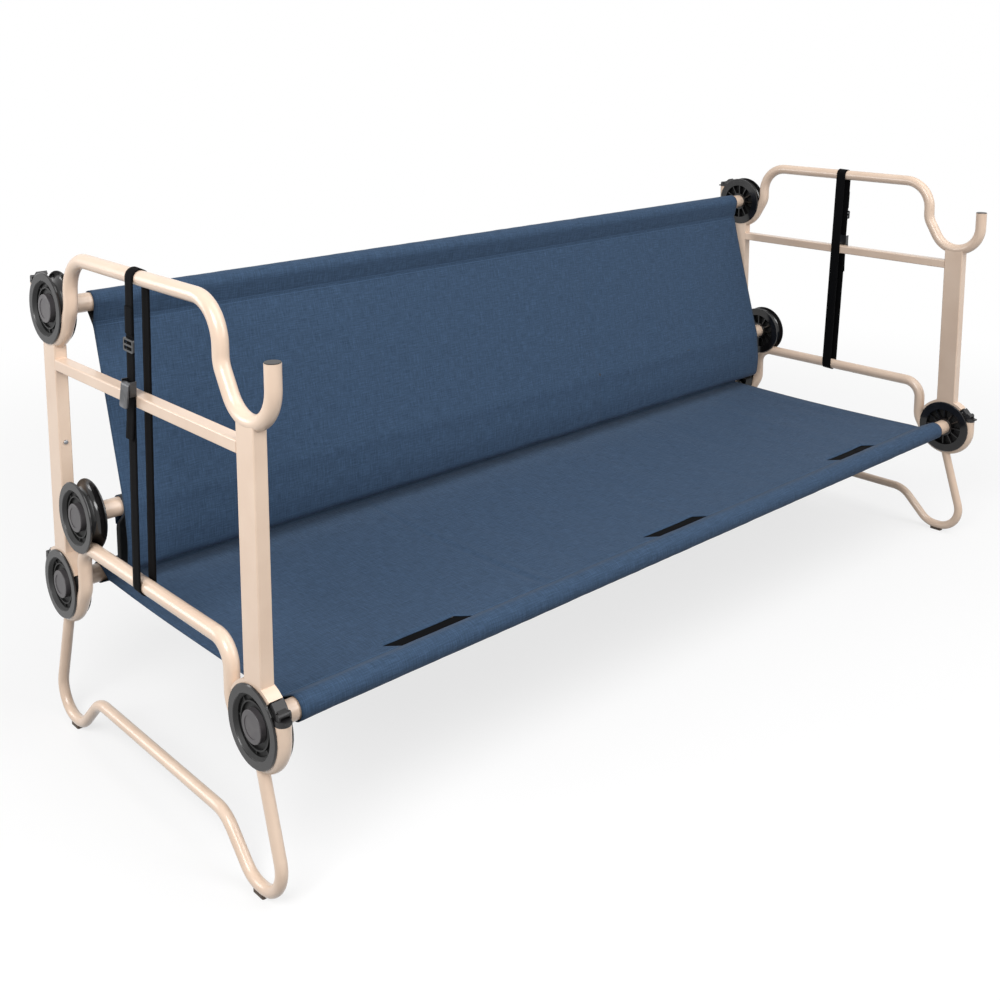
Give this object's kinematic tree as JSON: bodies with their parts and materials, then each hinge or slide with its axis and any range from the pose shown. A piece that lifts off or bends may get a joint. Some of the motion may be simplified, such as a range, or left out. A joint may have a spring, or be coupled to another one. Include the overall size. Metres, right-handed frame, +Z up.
{
  "type": "bunk camping cot",
  "caption": "Camping bunk cot set up as a bench: bent-tube end frames with posts, grooved discs on round rails, a cloth seat deck and a hanging cloth backrest.",
  "frame": {"origin": "middle of the floor area, on the floor under the foot pads", "axes": "+X along the cot to the sitter's left, -Y out of the front, +Z up"},
  "size_m": [2.1286, 0.807, 0.9197],
  "materials": {
    "beige_powder_coat": "satin",
    "galvanised_steel": "satin",
    "black_plastic": "gloss",
    "grey_plastic": "satin",
    "black_coated_steel": "satin",
    "denim_cloth": "woven",
    "black_webbing": "woven",
    "black_rubber": "matte",
    "spring_steel": "satin"
  },
  "bodies": {
    "end_frames_and_decks": {"lower_frame_left": "beige_powder_coat", "leg_hoop_left": "beige_powder_coat", "upper_frame_left": "beige_powder_coat", "crossbar_left": "beige_powder_coat", "post_saddles_left": "beige_powder_coat", "strap_left": "black_webbing", "lower_post_front_left": "beige_powder_coat", "upper_post_front_left": "beige_powder_coat", "lower_post_back_left": "beige_powder_coat", "upper_post_back_left": "beige_powder_coat", "lower_frame_right": "beige_powder_coat", "leg_hoop_right": "beige_powder_coat", "upper_frame_right": "beige_powder_coat", "crossbar_right": "beige_powder_coat", "post_saddles_right": "beige_powder_coat", "strap_right": "black_webbing", "lower_post_front_right": "beige_powder_coat", "upper_post_front_right": "beige_powder_coat", "lower_post_back_right": "beige_powder_coat", "upper_post_back_right": "beige_powder_coat", "foot_pads": "black_rubber", "post_spigots": "galvanised_steel", "button_springs": "spring_steel", "clip_sockets": "black_plastic", "buckle_bodies": "black_coated_steel", "strap_sliders": "black_coated_steel", "seat_deck": "denim_cloth", "seat_webbing": "black_webbing", "backrest_deck": "denim_cloth"},
    "seat_front_rail_and_discs": {"seat_front_rail": "beige_powder_coat", "seat_front_discs": "black_plastic", "seat_front_hub_caps": "grey_plastic", "seat_front_hub_bolts": "galvanised_steel"},
    "seat_back_rail_and_discs": {"seat_back_rail": "beige_powder_coat", "seat_back_discs": "black_plastic", "seat_back_hub_caps": "grey_plastic", "seat_back_hub_bolts": "galvanised_steel"},
    "backrest_top_rail_and_discs": {"backrest_top_rail": "beige_powder_coat", "backrest_top_discs": "black_plastic", "backrest_top_hub_caps": "grey_plastic", "backrest_top_hub_bolts": "galvanised_steel"},
    "backrest_low_rail_and_discs": {"backrest_low_rail": "beige_powder_coat", "backrest_low_discs": "black_plastic", "backrest_low_hub_caps": "grey_plastic", "backrest_low_hub_bolts": "galvanised_steel"},
    "snap_button_front_left": {"snap_button_front_left": "galvanised_steel"},
    "snap_button_back_left": {"snap_button_back_left": "galvanised_steel"},
    "snap_button_front_right": {"snap_button_front_right": "galvanised_steel"},
    "snap_button_back_right": {"snap_button_back_right": "galvanised_steel"},
    "safety_clip_top_left": {"safety_clip_top_left": "black_plastic"},
    "safety_clip_front_left": {"safety_clip_front_left": "black_plastic"},
    "safety_clip_back_left": {"safety_clip_back_left": "black_plastic"},
    "safety_clip_top_right": {"safety_clip_top_right": "black_plastic"},
    "safety_clip_front_right": {"safety_clip_front_right": "black_plastic"},
    "safety_clip_back_right": {"safety_clip_back_right": "black_plastic"},
    "buckle_lever_left": {"buckle_lever_left": "grey_plastic"},
    "buckle_lever_right": {"buckle_lever_right": "grey_plastic"}
  },
  "joints": [
    {"name": "seat_front_rail_turn", "type": "hinge", "parent": "end_frames_and_decks", "child": "seat_front_rail_and_discs", "pos_m": [0, -0.325, 0.282], "axis": [1, 0, 0], "continuous": true},
    {"name": "seat_back_rail_turn", "type": "hinge", "parent": "end_frames_and_decks", "child": "seat_back_rail_and_discs", "pos_m": [0, 0.325, 0.282], "axis": [1, 0, 0], "continuous": true},
    {"name": "backrest_top_rail_turn", "type": "hinge", "parent": "end_frames_and_decks", "child": "backrest_top_rail_and_discs", "pos_m": [0, 0.325, 0.802], "axis": [1, 0, 0], "continuous": true},
    {"name": "backrest_low_rail_turn", "type": "hinge", "parent": "end_frames_and_decks", "child": "backrest_low_rail_and_discs", "pos_m": [0, 0.24545, 0.4337], "axis": [1, 0, 0], "continuous": true},
    {"name": "snap_button_front_left_press", "type": "slide", "parent": "end_frames_and_decks", "child": "snap_button_front_left", "axis": [0, -1, 0], "range_m": [0, 0.0032], "stiffness_N_per_m": 1500, "deforming": ["button_springs"]},
    {"name": "snap_button_back_left_press", "type": "slide", "parent": "end_frames_and_decks", "child": "snap_button_back_left", "axis": [0, 1, 0], "range_m": [0, 0.0032], "stiffness_N_per_m": 1500, "deforming": ["button_springs"]},
    {"name": "snap_button_front_right_press", "type": "slide", "parent": "end_frames_and_decks", "child": "snap_button_front_right", "axis": [0, -1, 0], "range_m": [0, 0.0032], "stiffness_N_per_m": 1500, "deforming": ["button_springs"]},
    {"name": "snap_button_back_right_press", "type": "slide", "parent": "end_frames_and_decks", "child": "snap_button_back_right", "axis": [0, 1, 0], "range_m": [0, 0.0032], "stiffness_N_per_m": 1500, "deforming": ["button_springs"]},
    {"name": "safety_clip_top_left_swing", "type": "hinge", "parent": "end_frames_and_decks", "child": "safety_clip_top_left", "pos_m": [-1.034, 0.388, 0.8485], "axis": [-1, 0, 0], "range_deg": [0, 110]},
    {"name": "safety_clip_front_left_swing", "type": "hinge", "parent": "end_frames_and_decks", "child": "safety_clip_front_left", "pos_m": [-1.034, -0.388, 0.3215], "axis": [1, 0, 0], "range_deg": [0, 110]},
    {"name": "safety_clip_back_left_swing", "type": "hinge", "parent": "end_frames_and_decks", "child": "safety_clip_back_left", "pos_m": [-1.034, 0.388, 0.3215], "axis": [-1, 0, 0], "range_deg": [0, 110]},
    {"name": "safety_clip_top_right_swing", "type": "hinge", "parent": "end_frames_and_decks", "child": "safety_clip_top_right", "pos_m": [1.034, 0.388, 0.8485], "axis": [-1, 0, 0], "range_deg": [0, 110]},
    {"name": "safety_clip_front_right_swing", "type": "hinge", "parent": "end_frames_and_decks", "child": "safety_clip_front_right", "pos_m": [1.034, -0.388, 0.3215], "axis": [1, 0, 0], "range_deg": [0, 110]},
    {"name": "safety_clip_back_right_swing", "type": "hinge", "parent": "end_frames_and_decks", "child": "safety_clip_back_right", "pos_m": [1.034, 0.388, 0.3215], "axis": [-1, 0, 0], "range_deg": [0, 110]},
    {"name": "buckle_lever_left_swing", "type": "hinge", "parent": "end_frames_and_decks", "child": "buckle_lever_left", "pos_m": [-1.0551, 0.00601, 0.72914], "axis": [0, 0.9992, 0.04], "range_deg": [0, 110]},
    {"name": "buckle_lever_right_swing", "type": "hinge", "parent": "end_frames_and_decks", "child": "buckle_lever_right", "pos_m": [1.0551, 0.00601, 0.72914], "axis": [0, -0.9992, -0.04], "range_deg": [0, 110]}
  ]
}
